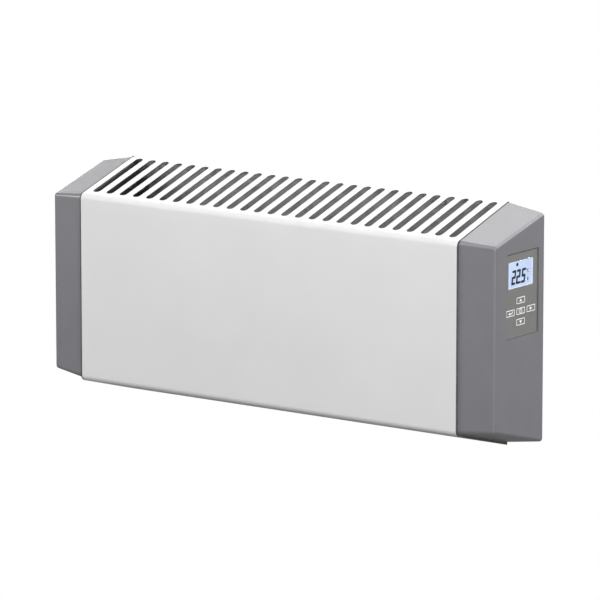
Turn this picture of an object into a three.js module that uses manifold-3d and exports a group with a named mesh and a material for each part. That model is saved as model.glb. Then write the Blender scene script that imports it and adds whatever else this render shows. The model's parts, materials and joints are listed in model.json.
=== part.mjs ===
// Wall-mounted fan convector heater. Millimetres. +Z is up, -Y faces the room and +X is the control side.
// The origin lies on the wall, behind the middle of the casing at half its height.
import * as THREE from 'three';
import { ConvexGeometry } from 'three/addons/geometries/ConvexGeometry.js';
import { mergeVertices } from 'three/addons/utils/BufferGeometryUtils.js';
import Module from 'manifold-3d';

const wasm = await Module();
wasm.setup();

// ---- Driving dimensions ----

const WALL_GAP = 2; // casing rear edge to wall
const DEPTH = 88;
const REAR = -WALL_GAP;
const FRONT = REAR - DEPTH;
const FRONT_HALF = 93.2; // half height of the section at the front
const REAR_HALF = 118.2; // half height of the section at the rear
const SLOPE = Math.atan2(REAR_HALF - FRONT_HALF, DEPTH);
const SHEET = 0.8; // casing sheet
const THIN_SHEET = 1; // rear plate and air duct
const PLATE = 1.2; // end plates and motor brackets
const GAP = 0.3; // between pieces that touch
const FRONT_BEND = 6.8;
const REAR_BEND = 1.5;
const CASING_END = 219.5; // half length of the casing
const RETURN_FLANGE = 12; // rear flange of the casing

const SLOT_COUNT = 27;
const SLOT_PITCH = 16;
const SLOT_WIDTH = 8;
const OUTLET = { front: -81.7, rear: -5.1 }; // tips of the outlet slots
const INLET = { front: -78, rear: -22 }; // tips of the inlet slots

const CAP = {
  seam: 221, // inner edge of the cap
  step: 1.35, // the cap lies this far inside the casing surface
  wall: 3,
  edgeY: -81.1, // the outer face's front edge
  edge: 3.5, // rounding of the front and outer edges
  rearEdge: 3.2, // rounding of the rear corners
  lipInset: 2.4, // the locating lip lies this far inside the casing surface
  lipFrom: 214,
  lipTo: 221.5,
};
// The two caps differ a little. rear: rear edge; edgeX: half length at the outer face's front edge;
// draft: lean of the outer face towards the wall; drop: outer edge below the casing's top line;
// lift: height above a place midway, so the step is larger on the underside.
const RIGHT = { rear: -0.3, edgeX: 257, draft: Math.atan(0.056), drop: 7.2, lift: 1.2 };
const LEFT = { rear: -0.5, edgeX: 259.3, draft: Math.atan(-0.035), drop: 7.5, lift: 0.85 };
const SEAL_INSET = 2.2; // inner edge of the seal between casing and cap
const BOSS = { y: -20, z: 92, radius: 4, holeEnd: 226 };
const SCREW = { shank: 1.4, head: 3, headHeight: 1.5, point: 1.5, clearance: 0.35 };

const BULKHEAD = { inner: 211, inset: 2.5, flange: 12, flangeHalf: 98, wireHole: 10, wireHoleAt: [-30, 72] };
const BACK = {
  rear: REAR - SHEET - 0.4, // rear face of the rim
  halfLength: 219,
  top: 115,
  pan: { left: -170, right: 196, bottom: -68, top: 66, floor: -15 },
};
const BRACKET = {
  thickness: 2, halfLength: 150, bottom: -50, top: 50, windowX: [25, 85], windowZ: [-18, 18],
  screwX: 125, screwZ: 34, screwHole: 3,
};
const HOOK = { x: 95, width: 20, z: 28, reach: -19, tongue: 12 };
const HOOK_SLOT = { width: 25, height: 18 };

const FAN = {
  y: -54, z: -56, radius: 24, inner: 18.5, blades: 16, bladeSweep: 0.26, bladeTurn: 0.045,
  left: -160, right: 158, disc: 1.2, leftStub: 12, rightStub: 10,
};
const SHAFT_RADIUS = 3;
const HOUSING = {
  half: 165, front: -84, rear: -22, bottom: -84, top: 20, scrollStart: 26.5, scrollEnd: 30,
  footHalf: 6, couplingHole: 8,
};
const TONGUE = { lip: [-71.5, -37], knee: [-80, -31, 4], top: 18 };
const BEARING = { bush: 6, cushion: 10, bushHalf: 4, cushionHalf: 3 };
const MOTOR = {
  front: 182, rear: 200, bore: 12.6, rotor: 12, half: 24, top: -14,
  windowHalf: 14, windowTop: -26, windowBottom: -36, screwHole: 2.2, screwY: 20,
  frontBracket: 176, rearBracket: 202, bracketHalf: 18,
};
const COIL = { front: 4, rear: 3, half: 12, height: 4.5 }; // how far the winding stands out of the limb
const COUPLING = { left: 161, right: 174.5, radius: 6 };
const ELEMENT = {
  z: 42, y: [-66, -38], tube: 4, right: 205, bendX: -189, pin: 1.6, pinLength: 4, fins: 18, finPitch: 19.4,
};
const FIN = { thickness: 0.8, front: -78, rear: -26, half: 14 };
const HOLDER = {
  x: 184, thickness: 2, front: -82, rear: -24, bottom: 24, top: 60, tabInset: 14, tabHeight: 12,
};

// The control panel lies on the right cap's outer face. Its own frame has x outwards, y towards the wall.
const PANEL = { y: -39, recess: 2, skin: 0.9, front: -24, rear: 28.2, bottom: -1.1, top: 80.7, radius: 1.5 };
const DISPLAY = { half: 20.3, bottom: 46.4, top: 72.4, frame: 2.6 };
const DISPLAY_OPENING = { y: [-23.4, 23.4], z: [43.2, 75.6] };
const KEY = {
  width: 14, height: 6.7, radius: 1, pitchY: 16.65, pitchZ: 10.35, z: 23.6, proud: 0.2, back: -4.2, dome: 0.7,
};
const KEY_OPENING = { y: [-23.9, 24.9], z: [8.1, 39.2] };
const CONTROL_BOARD = { front: -6.6, thickness: 1.6, y: [-25, 27], z: [0.4, 78.4] };
const STAKE = { y: 2, z: [41.2, 3.9], shoulder: 1.9, pin: 1.2, hole: 1.5, head: 2.4, headHeight: 1.2 };
const POWER_BOARD = { x: 218, thickness: 1.6, front: -76, rear: -30, bottom: -84, top: -8 };
const BOARD_TOP = POWER_BOARD.x + POWER_BOARD.thickness + GAP; // seat of the parts on the power board
const PILLAR = { places: [[-70, -78], [-36, -14]], radius: 3 };
const RELAY = { y: [-72, -44], z: [-58, -42], height: 15 };
const HEATSINK = { y: [-72, -48], z: [-34, -12], base: 3, blades: 4, pitch: 7.3, blade: 2, height: 15 };
const TERMINALS = { y: [-60, -34], z: [-82, -66], height: 13, poles: [-56, -47, -38], entry: 2.4, head: 2.6 };
const GLAND = { x: 182, z: -36, bore: 4, thread: 7, nut: 10, tail: 8 };
const SENSOR = { y: -64, z: -82, tip: 199, bead: 2.5, flange: 5 };
const CUTOUT = { y: -62, z: 84, depth: 9, radius: 8, flange: 11, flangeDepth: 3 };

const BUMPER = { x: 192, z: -95, radius: 8, taper: 1.5, seatDepth: 1.6, tip: -0.1 };
const FAR = 400; // reach of the tools that cut right across

const RING = 12; // facets of a small round part

// ---- Materials ----

const finish = (color, roughness, metalness = 0) =>
  new THREE.MeshStandardMaterial({ color, roughness, metalness });
const MATERIAL = {
  whitePaint: finish(0xf1f2f3, 0.45, 0.1),
  greyPlastic: finish(0x86868b, 0.5),
  galvanised: finish(0xb4b8ba, 0.45, 0.8),
  fasciaFilm: finish(0x84847f, 0.55),
  clearLens: finish(0xdfe8f4, 0.08),
  displayGlow: finish(0xcfdcf6, 0.3),
  keyFilm: finish(0x84847f, 0.5),
  board: finish(0x2c6b45, 0.5),
  silicone: finish(0x55585c, 0.8),
  aluminium: finish(0xc8cacb, 0.4, 0.9),
  zinc: finish(0xc9c9c4, 0.35, 0.9),
  bronze: finish(0xa9793e, 0.4, 0.9),
  winding: finish(0xa2572c, 0.4, 0.5),
  blackPlastic: finish(0x1d1d1f, 0.6),
  blackEnamel: finish(0x1b1c1e, 0.5, 0.2),
  rubber: finish(0x18181a, 0.85),
  ceramic: finish(0xe6e1d6, 0.7),
};

// ---- Solids ----

function toSolid(geometry) {
  const bare = geometry.index ? geometry.toNonIndexed() : geometry.clone();
  bare.deleteAttribute('normal');
  bare.deleteAttribute('uv');
  const merged = mergeVertices(bare, 1e-4);
  return new wasm.Manifold(new wasm.Mesh({
    numProp: 3,
    vertProperties: new Float32Array(merged.attributes.position.array),
    triVerts: new Uint32Array(merged.index.array),
  }));
}

function toGeometry(solid) {
  const mesh = solid.getMesh();
  const geometry = new THREE.BufferGeometry();
  geometry.setAttribute('position', new THREE.BufferAttribute(new Float32Array(mesh.vertProperties), 3));
  geometry.setIndex(new THREE.BufferAttribute(new Uint32Array(mesh.triVerts), 1));
  geometry.computeVertexNormals();
  return geometry;
}

function join(...solids) {
  return solids.reduce((sum, solid) => sum.add(solid));
}

function cut(solid, ...tools) {
  return tools.reduce((rest, tool) => rest.subtract(tool), solid);
}

// Axes that carry a flat outline's own x, y and extrusion direction, one set for each extrusion axis.
const UNIT = { x: new THREE.Vector3(1, 0, 0), y: new THREE.Vector3(0, 1, 0), z: new THREE.Vector3(0, 0, 1) };
const BASIS = {
  x: new THREE.Matrix4().makeBasis(UNIT.y, UNIT.z, UNIT.x),
  y: new THREE.Matrix4().makeBasis(UNIT.z, UNIT.x, UNIT.y),
  z: new THREE.Matrix4(),
};

// A prism along an axis. The outline's pairs are (y, z) for x, (z, x) for y and (x, y) for z.
function prism(axis, outline, from, to) {
  const shape = new THREE.Shape(outline.map(([a, b]) => new THREE.Vector2(a, b)));
  const geometry = new THREE.ExtrudeGeometry(shape, { depth: to - from, bevelEnabled: false });
  geometry.translate(0, 0, from);
  geometry.applyMatrix4(BASIS[axis]);
  return toSolid(geometry);
}

function box([x0, x1], [y0, y1], [z0, z1]) {
  const geometry = new THREE.BoxGeometry(x1 - x0, y1 - y0, z1 - z0);
  geometry.translate((x0 + x1) / 2, (y0 + y1) / 2, (z0 + z1) / 2);
  return toSolid(geometry);
}

// A turned solid about a line parallel to an axis. The profile's pairs are (radius, place along the axis),
// and centre holds the two other coordinates, in the order that prism uses.
function turned(axis, profile, centre = [0, 0], facets = RING) {
  const points = profile.map(([radius, along]) => new THREE.Vector2(radius, along));
  const geometry = new THREE.LatheGeometry(points, facets);
  geometry.rotateX(Math.PI / 2);
  geometry.translate(centre[0], centre[1], 0);
  geometry.applyMatrix4(BASIS[axis]);
  return toSolid(geometry);
}

function rod(axis, radius, from, to, centre, facets = RING) {
  return turned(axis, [[0, from], [radius, from], [radius, to], [0, to]], centre, facets);
}

function sleeve(axis, inner, outer, from, to, centre, facets = RING) {
  const profile = [[inner, from], [outer, from], [outer, to], [inner, to], [inner, from]];
  return turned(axis, profile, centre, facets);
}

// Points of the arc that rounds the corner at b between a and c.
function roundCorner(a, b, c, radius, steps) {
  const corner = new THREE.Vector2(...b);
  const back = new THREE.Vector2(...a).sub(corner).normalize();
  const ahead = new THREE.Vector2(...c).sub(corner).normalize();
  const half = Math.acos(THREE.MathUtils.clamp(back.dot(ahead), -1, 1)) / 2;
  const middle = back.clone().add(ahead).normalize();
  const centre = corner.clone().addScaledVector(middle, radius / Math.sin(half));
  const start = corner.clone().addScaledVector(back, radius / Math.tan(half)).sub(centre);
  const turn = Math.sign(back.cross(ahead)) * -(Math.PI - 2 * half);
  const origin = new THREE.Vector2();
  return Array.from({ length: steps + 1 }, (_, i) => {
    const point = start.clone().rotateAround(origin, (turn * i) / steps).add(centre);
    return [point.x, point.y];
  });
}

// Points of an arc whose radius may change along it.
function arcPoints(centre, radiusAt, fromDegrees, toDegrees, steps) {
  return Array.from({ length: steps + 1 }, (_, i) => {
    const share = i / steps;
    const angle = THREE.MathUtils.degToRad(THREE.MathUtils.lerp(fromDegrees, toDegrees, share));
    const radius = radiusAt(share);
    return [centre[0] + radius * Math.cos(angle), centre[1] + radius * Math.sin(angle)];
  });
}

// A closed outline with rounded corners: each corner is [a, b, radius].
function rounded(corners, steps = 3) {
  return corners.flatMap(([a, b, radius], i) => {
    const before = corners.at(i - 1);
    const after = corners[(i + 1) % corners.length];
    return radius > 0 ? roundCorner(before, [a, b], after, radius, steps) : [[a, b]];
  });
}

function roundedRectangle([a0, a1], [b0, b1], radius, steps = 3) {
  return rounded([[a0, b0, radius], [a1, b0, radius], [a1, b1, radius], [a0, b1, radius]], steps);
}

// The outline of a bent sheet. Path points are [a, b, bend radius] on one face, and the sheet lies on the
// left of the path.
function bentSheet(path, thickness, steps = 4) {
  const directions = path.slice(1).map(([a, b], i) =>
    new THREE.Vector2(a - path[i][0], b - path[i][1]).normalize());
  const shifted = path.map(([a, b, radius = 0], i) => {
    const before = directions[Math.max(i - 1, 0)];
    const after = directions[Math.min(i, directions.length - 1)];
    const normal = new THREE.Vector2(-before.y - after.y, before.x + after.x).normalize();
    const reach = thickness / (normal.x * -after.y + normal.y * after.x);
    const inside = before.cross(after) > 0 ? radius - thickness : radius + thickness;
    return [a + normal.x * reach, b + normal.y * reach, radius > 0 ? Math.max(inside, 0.1) : 0];
  });
  const bend = (points) => points.flatMap(([a, b, radius = 0], i) => {
    const isEnd = i === 0 || i === points.length - 1;
    if (isEnd || radius === 0) return [[a, b]];
    return roundCorner(points[i - 1], [a, b], points[i + 1], radius, steps);
  });
  return [...bend(path), ...bend(shifted).reverse()];
}

// ---- The body section ----

// Height of the top surface at a depth, lowered by an inset square to it.
function topAt(y, inset = 0) {
  return FRONT_HALF + (y - FRONT) * Math.tan(SLOPE) - inset / Math.cos(SLOPE);
}

function section(inset, frontRadius, rearRadius, steps = 4, rearEnd = REAR) {
  const front = FRONT + inset;
  const rear = rearEnd - inset;
  return rounded([
    [front, topAt(front, inset), frontRadius],
    [front, -topAt(front, inset), frontRadius],
    [rear, -topAt(rear, inset), rearRadius],
    [rear, topAt(rear, inset), rearRadius],
  ], steps);
}

// ---- Scene graph ----

const group = new THREE.Group();

function add(name, solid, material, parent = group) {
  const mesh = new THREE.Mesh(toGeometry(solid), MATERIAL[material]);
  mesh.name = name;
  parent.add(mesh);
}

// ---- Casing: one folded sheet for the grille, the front and the underside ----

// Slots through a sloping sheet; side is 1 for the top and -1 for the underside.
function slots(range, side) {
  const run = (range.rear - range.front) / Math.cos(SLOPE);
  const radius = SLOT_WIDTH / 2;
  const outline = [
    ...arcPoints([0, run - radius], () => radius, 0, 180, 4),
    ...arcPoints([0, radius], () => radius, 180, 360, 4),
  ];
  const middle = (SLOT_COUNT - 1) / 2;
  return Array.from({ length: SLOT_COUNT }, (_, i) => {
    const slot = prism('z', outline, -3, 3).rotate([THREE.MathUtils.radToDeg(side * SLOPE), 0, 0]);
    return slot.translate([(i - middle) * SLOT_PITCH, range.front, side * topAt(range.front)]);
  });
}

function screwHole(x, z) {
  return rod('y', SCREW.shank + SCREW.clearance, REAR - 8, REAR + 1, [z, x], 8);
}

const CASING_SCREWS = [-150, 150].flatMap((x) => [-1, 1].map((side) => [x, side * (REAR_HALF - 8)]));

function frontCasing() {
  const rearInner = REAR_HALF - RETURN_FLANGE;
  const path = [
    [REAR, rearInner],
    [REAR, REAR_HALF, REAR_BEND],
    [FRONT, FRONT_HALF, FRONT_BEND],
    [FRONT, -FRONT_HALF, FRONT_BEND],
    [REAR, -REAR_HALF, REAR_BEND],
    [REAR, -rearInner],
  ];
  const sheet = prism('x', bentSheet(path, SHEET), -CASING_END, CASING_END);
  const holes = CASING_SCREWS.map(([x, z]) => screwHole(x, z));
  return cut(sheet, ...slots(OUTLET, 1), ...slots(INLET, -1), ...holes);
}

add('front_casing', frontCasing(), 'whitePaint');

// ---- Back plate: a rim behind the casing with a pan pressed in for the wall bracket ----

const BULKHEAD_SCREWS = [-1, 1].flatMap((side) => [-88, 88].map((z) => [side * 204, z]));
const HOUSING_SCREWS = [-140, 140].map((x) => [x, -44]);

function backPlate() {
  const { pan, halfLength, rear, top } = BACK;
  const t = THIN_SHEET;
  const rim = box([-halfLength, halfLength], [rear - t, rear], [-top, top]);
  const shell = box([pan.left, pan.right], [pan.floor - t, rear], [pan.bottom, pan.top]);
  const hollow = box([pan.left + t, pan.right - t], [pan.floor, REAR + 1], [pan.bottom + t, pan.top - t]);
  const slotTop = HOOK.z + BRACKET.thickness + GAP;
  const hookSlots = [-HOOK.x, HOOK.x].map((x) => box(
    [x - HOOK_SLOT.width / 2, x + HOOK_SLOT.width / 2],
    [pan.floor - 2, pan.floor + 1],
    [slotTop - HOOK_SLOT.height, slotTop],
  ));
  const rimHoles = [...CASING_SCREWS, ...BULKHEAD_SCREWS].map(([x, z]) => screwHole(x, z));
  const floorHoles = HOUSING_SCREWS.map(([x, z]) =>
    rod('y', SCREW.shank + SCREW.clearance, pan.floor - 2, pan.floor + 1, [z, x], 8));
  const glandHole = rod('y', GLAND.thread + GAP, pan.floor - 2, pan.floor + 1, [GLAND.z, GLAND.x]);
  return cut(join(rim, shell), hollow, ...hookSlots, ...rimHoles, ...floorHoles, glandHole);
}

add('back_plate', backPlate(), 'galvanised');

// ---- Wall bracket with two up-turned hooks ----

function wallBracket() {
  const { thickness, halfLength, bottom, top, windowX, windowZ } = BRACKET;
  const plate = box([-halfLength, halfLength], [-thickness, 0], [bottom, top]);
  const hooks = [-HOOK.x, HOOK.x].map((x) => {
    const outline = [
      [-thickness / 2, HOOK.z],
      [-thickness / 2, HOOK.z + thickness],
      [HOOK.reach + thickness, HOOK.z + thickness],
      [HOOK.reach + thickness, HOOK.z + HOOK.tongue],
      [HOOK.reach, HOOK.z + HOOK.tongue - 2],
      [HOOK.reach, HOOK.z],
    ].reverse();
    return prism('x', outline, x - HOOK.width / 2, x + HOOK.width / 2);
  });
  const windows = [windowX, windowX.map((x) => -x).reverse()].map((span) =>
    box(span, [-thickness - 1, 1], windowZ));
  const holes = [-1, 1].flatMap((sx) => [-1, 1].map((sz) =>
    rod('y', BRACKET.screwHole, -thickness - 1, 1, [sz * BRACKET.screwZ, sx * BRACKET.screwX])));
  return cut(join(plate, ...hooks), ...windows, ...holes);
}

add('wall_bracket', wallBracket(), 'galvanised');

// ---- Bulkheads: steel end plates that carry the caps and the boards ----

function screwClearance(axis, from, to, centre) {
  return rod(axis, SCREW.shank + SCREW.clearance, from, to, centre, 8);
}

function rightBulkhead() {
  const { inner, inset, flange, flangeHalf, wireHole, wireHoleAt } = BULKHEAD;
  const outer = inner + PLATE;
  const rear = BACK.rear - THIN_SHEET - 0.4;
  const plate = cut(
    prism('x', section(inset, FRONT_BEND - inset, 1), inner, outer),
    box([inner - 1, outer + 1], [rear, 0], [-FAR, FAR]),
  );
  const rearFlange = box([inner - flange, outer], [rear - PLATE, rear], [-flangeHalf, flangeHalf]);
  const holes = [
    ...[-1, 1].map((side) => screwClearance('x', inner - 1, outer + 1, [BOSS.y, side * BOSS.z])),
    rod('x', wireHole, inner - 1, outer + 1, wireHoleAt),
    ...BULKHEAD_SCREWS.filter(([x]) => x > 0).map(([x, z]) => screwHole(x, z)),
  ];
  return cut(join(plate, rearFlange), ...holes);
}

// The right bulkhead also carries the pillars of the power board.
function withPillars(solid) {
  const outer = BULKHEAD.inner + PLATE;
  const top = POWER_BOARD.x - GAP;
  const pillars = PILLAR.places.map((place) => rod('x', PILLAR.radius, outer - PLATE / 2, top, place));
  const holes = PILLAR.places.map((place) => screwClearance('x', outer + 0.5, top + 1, place));
  return cut(join(solid, ...pillars), ...holes);
}

add('left_bulkhead', rightBulkhead().mirror([1, 0, 0]), 'blackEnamel');
add('right_bulkhead', withPillars(rightBulkhead()), 'blackEnamel');

// ---- End caps: moulded shells that taper away from the casing ----

function plane(a, b, c, inside) {
  const result = new THREE.Plane().setFromCoplanarPoints(a, b, c);
  return result.distanceToPoint(inside) > 0 ? result.negate() : result;
}

// The point at a given depth under three planes.
function meeting([p, q, r], depth) {
  const qr = q.normal.clone().cross(r.normal);
  const rp = r.normal.clone().cross(p.normal);
  const pq = p.normal.clone().cross(q.normal);
  const sum = qr.clone().multiplyScalar(-p.constant - depth);
  sum.addScaledVector(rp, -q.constant - depth).addScaledVector(pq, -r.constant - depth);
  return sum.divideScalar(p.normal.dot(qr));
}

// Half length at the outer face, at a depth.
function outerX(hand, y) {
  return hand.edgeX + (y - CAP.edgeY) * Math.tan(hand.draft);
}

const V = (x, y, z) => new THREE.Vector3(x, y, z);

function capFaces({ rear, edgeX, drop }, outRear) {
  const inside = V(CAP.seam + 10, (FRONT + REAR) / 2, 0);
  const seamFront = FRONT + CAP.step;
  const seamTop = (y) => V(CAP.seam, y, topAt(y, CAP.step));
  return {
    outer: plane(V(edgeX, CAP.edgeY, 0), V(edgeX, CAP.edgeY, 50), V(outRear, rear, 0), inside),
    front: plane(V(CAP.seam, seamFront, 0), V(CAP.seam, seamFront, 50), V(edgeX, CAP.edgeY, 0), inside),
    top: plane(seamTop(seamFront), seamTop(rear), V(outRear, rear, topAt(rear) - drop), inside),
    rear: plane(V(0, rear, 0), V(1, rear, 0), V(0, rear, 1), inside),
  };
}

// The cap's convex form on the +X side, shrunk by a depth and stretched to start at x = from.
function capForm(hand, depth, from) {
  const faces = capFaces(hand, outerX(hand, hand.rear));
  const steps = 4;
  const ball = (centre, radius) => {
    const points = [];
    for (let i = 0; i <= 2 * steps; i += 1) {
      for (let j = 0; j < 4 * steps; j += 1) {
        const direction = new THREE.Vector3().setFromSphericalCoords(
          1, (Math.PI * i) / (2 * steps), (Math.PI * j) / (2 * steps));
        points.push(direction.multiplyScalar(radius).add(centre));
      }
    }
    return points;
  };
  const frontRadius = Math.max(CAP.edge - depth, 0.6);
  const rearRadius = Math.max(CAP.rearEdge - depth, 0.6);
  const corners = [
    ...ball(meeting([faces.outer, faces.front, faces.top], depth + frontRadius), frontRadius),
    ...ball(meeting([faces.outer, faces.rear, faces.top], depth + rearRadius), rearRadius),
  ];
  const mirrored = corners.map((point) => V(point.x, point.y, -point.z));
  const bend = Math.max(FRONT_BEND - CAP.step - depth, 1);
  const seam = section(CAP.step + depth, bend, Math.max(REAR_BEND - depth, 0.4), 5, hand.rear + CAP.step)
    .flatMap(([y, z]) => [V(from, y, z), V(CAP.seam, y, z)]);
  const placed = (point) => V(point.x, Math.min(point.y, hand.rear - depth), point.z + hand.lift);
  return toSolid(new ConvexGeometry([...corners, ...mirrored, ...seam].map(placed)));
}

// A band of the heater's own section between two insets.
function band(outerInset, innerInset, from, to, rearEnd = REAR) {
  const outline = (inset) => section(inset, FRONT_BEND - inset, 0.6, 5, rearEnd);
  return cut(
    prism('x', outline(outerInset), from, to),
    prism('x', outline(innerInset), from - 1, to + 1),
  );
}

function capShell(hand) {
  const lip = band(CAP.lipInset, CAP.step + CAP.wall, CAP.lipFrom, CAP.lipTo);
  const flangeRoom = box([CAP.lipFrom - 1, CAP.seam], [BACK.rear - 5, 0], [-FAR, FAR]);
  const tip = outerX(hand, BOSS.y) - CAP.wall / 2;
  const bosses = [-1, 1].map((side) =>
    rod('x', BOSS.radius, BULKHEAD.inner + PLATE + GAP, tip, [BOSS.y, side * BOSS.z]));
  const holes = [-1, 1].map((side) =>
    screwClearance('x', BULKHEAD.inner, BOSS.holeEnd, [BOSS.y, side * BOSS.z]));
  const shell = cut(capForm(hand, 0, CAP.seam), capForm(hand, CAP.wall, CAP.seam - 20));
  return cut(join(shell, cut(lip, flangeRoom), ...bosses), ...holes);
}

// Moves a solid from the panel's own frame to its place on the right cap.
function onPanel(solid) {
  const turn = -THREE.MathUtils.radToDeg(RIGHT.draft);
  return solid.rotate([0, 0, turn]).translate([outerX(RIGHT, PANEL.y), PANEL.y, 0]);
}

const KEYS = {
  key_up: [0, 1],
  key_down: [0, -1],
  key_left: [-1, 0],
  key_right: [1, 0],
  key_centre: [0, 0],
};

// Pins moulded on the cap pass through the control board and end in melted heads.
function stakes() {
  const rear = CONTROL_BOARD.front - CONTROL_BOARD.thickness - GAP;
  return STAKE.z.map((z) => join(
    rod('x', STAKE.shoulder, CONTROL_BOARD.front + GAP, -PANEL.recess - 0.4, [STAKE.y, z]),
    rod('x', STAKE.pin, rear - STAKE.headHeight / 2, -PANEL.recess - 0.8, [STAKE.y, z], 8),
    rod('x', STAKE.head, rear - STAKE.headHeight, rear, [STAKE.y, z]),
  ));
}

function rightCap() {
  const { front, rear, bottom, top, radius, recess } = PANEL;
  const pocket = prism('x', roundedRectangle([front, rear], [bottom, top], radius), -recess, 2);
  const openings = [DISPLAY_OPENING, KEY_OPENING].map(({ y, z }) => box([-CAP.wall - 2, 1], y, z));
  return join(cut(capShell(RIGHT), ...[pocket, ...openings].map(onPanel)), ...stakes().map(onPanel));
}

add('right_end_cap', rightCap(), 'greyPlastic');
add('left_end_cap', capShell(LEFT).mirror([1, 0, 0]), 'greyPlastic');

function capSeal(hand) {
  return band(0, SEAL_INSET, CASING_END + GAP, CAP.seam - GAP, hand.rear);
}

add('right_cap_seal', capSeal(RIGHT), 'rubber');
add('left_cap_seal', capSeal(LEFT).mirror([1, 0, 0]), 'rubber');

// ---- Control panel ----

function keyOutline([column, row], margin) {
  const y = column * KEY.pitchY;
  const z = KEY.z + row * KEY.pitchZ;
  const halfWidth = KEY.width / 2 + margin;
  const halfHeight = KEY.height / 2 + margin;
  const spanY = [y - halfWidth, y + halfWidth];
  const spanZ = [z - halfHeight, z + halfHeight];
  return roundedRectangle(spanY, spanZ, KEY.radius + margin);
}

function fascia() {
  const { front, rear, bottom, top, radius, recess, skin } = PANEL;
  const outline = roundedRectangle([front + GAP, rear - GAP], [bottom + GAP, top - GAP], radius - GAP);
  const window = box([-4, 1], [-DISPLAY.half, DISPLAY.half], [DISPLAY.bottom, DISPLAY.top]);
  const keyHoles = Object.values(KEYS).map((place) => prism('x', keyOutline(place, GAP), -4, 1));
  return cut(prism('x', outline, -recess + GAP, -skin), window, ...keyHoles);
}

function addOnPanel(name, solid, material) {
  add(name, onPanel(solid), material);
}

addOnPanel('control_fascia', fascia(), 'fasciaFilm');
addOnPanel('display_window', box(
  [-PANEL.recess + GAP, -PANEL.skin],
  [-DISPLAY.half + GAP, DISPLAY.half - GAP],
  [DISPLAY.bottom + GAP, DISPLAY.top - GAP],
), 'clearLens');
addOnPanel('display_module', box(
  [CONTROL_BOARD.front + GAP, -PANEL.recess],
  [-DISPLAY.half - DISPLAY.frame, DISPLAY.half + DISPLAY.frame],
  [DISPLAY.bottom - DISPLAY.frame, DISPLAY.top + DISPLAY.frame],
), 'displayGlow');
addOnPanel('key_mat', box(
  [CONTROL_BOARD.front + GAP, KEY.back - KEY.dome],
  [KEY_OPENING.y[0] + 0.4, KEY_OPENING.y[1] - 0.4],
  [KEY_OPENING.z[0] + 0.4, KEY_OPENING.z[1] - 0.4],
), 'silicone');
for (const [name, place] of Object.entries(KEYS)) {
  addOnPanel(name, prism('x', keyOutline(place, 0), KEY.back, -PANEL.skin + KEY.proud), 'keyFilm');
}

function controlBoard() {
  const { front, thickness, y, z } = CONTROL_BOARD;
  const holes = STAKE.z.map((place) =>
    rod('x', STAKE.hole, front - thickness - 1, front + 1, [STAKE.y, place], 8));
  return cut(box([front - thickness, front], y, z), ...holes);
}

addOnPanel('control_board', controlBoard(), 'board');

// ---- Screws: a domed head and a pointed shank along the axis ----

// The head lies on the seat and the shank runs from it against the direction.
function screw(axis, seat, length, centre, direction = 1) {
  const { shank, head, headHeight, point } = SCREW;
  const profile = [
    [0, -length],
    [shank, -length + point],
    [shank, 0],
    [head, 0],
    [head * 0.8, headHeight * 0.8],
    [0, headHeight],
  ];
  const along = profile.map(([radius, place]) => [radius, seat + direction * place]);
  return turned(axis, direction > 0 ? along : along.reverse(), centre, 8);
}

CASING_SCREWS.forEach(([x, z], i) => add(`casing_screw_${i + 1}`, screw('y', REAR + 0.1, 8, [z, x]), 'zinc'));
BULKHEAD_SCREWS.forEach(([x, z], i) =>
  add(`bulkhead_screw_${i + 1}`, screw('y', BACK.rear + GAP, 8, [z, x]), 'zinc'));
HOUSING_SCREWS.forEach(([x, z], i) =>
  add(`housing_screw_${i + 1}`, screw('y', BACK.pan.floor + GAP, 7, [z, x]), 'zinc'));
[-1, 1].flatMap((side) => [-1, 1].map((sz) => [side, sz])).forEach(([side, sz], i) =>
  add(`cap_screw_${i + 1}`,
    screw('x', side * (BULKHEAD.inner - GAP), 13, [BOSS.y, sz * BOSS.z], -side), 'zinc'));
PILLAR.places.forEach((place, i) => add(`board_screw_${i + 1}`, screw('x', BOARD_TOP, 6.5, place), 'zinc'));

// ---- Cross-flow fan ----

const AXLE = [FAN.y, FAN.z];

function fanRotor() {
  const { radius, inner, blades, bladeSweep, bladeTurn } = FAN;
  const { left, right, disc, leftStub, rightStub } = FAN;
  const blade = (turn) => {
    const side = (offset) => [0, 0.5, 1].map((share) => {
      const reach = THREE.MathUtils.lerp(inner, radius - 0.4, share);
      const angle = turn + offset + bladeSweep * share * (2 - share);
      return [FAN.y + reach * Math.cos(angle), FAN.z + reach * Math.sin(angle)];
    });
    return prism('x', [...side(0), ...side(bladeTurn).reverse()], left, right);
  };
  const comb = Array.from({ length: blades }, (_, i) => blade((i * 2 * Math.PI) / blades));
  const discs = [left, (left + right) / 2, right - disc].map((x) => rod('x', radius, x, x + disc, AXLE, 20));
  const stubs = [[left - leftStub, left + 1], [right - 1, right + rightStub]].map(([from, to]) =>
    rod('x', SHAFT_RADIUS, from, to, AXLE));
  return join(...comb, ...discs, ...stubs);
}

add('fan_rotor', fanRotor(), 'aluminium');

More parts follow.
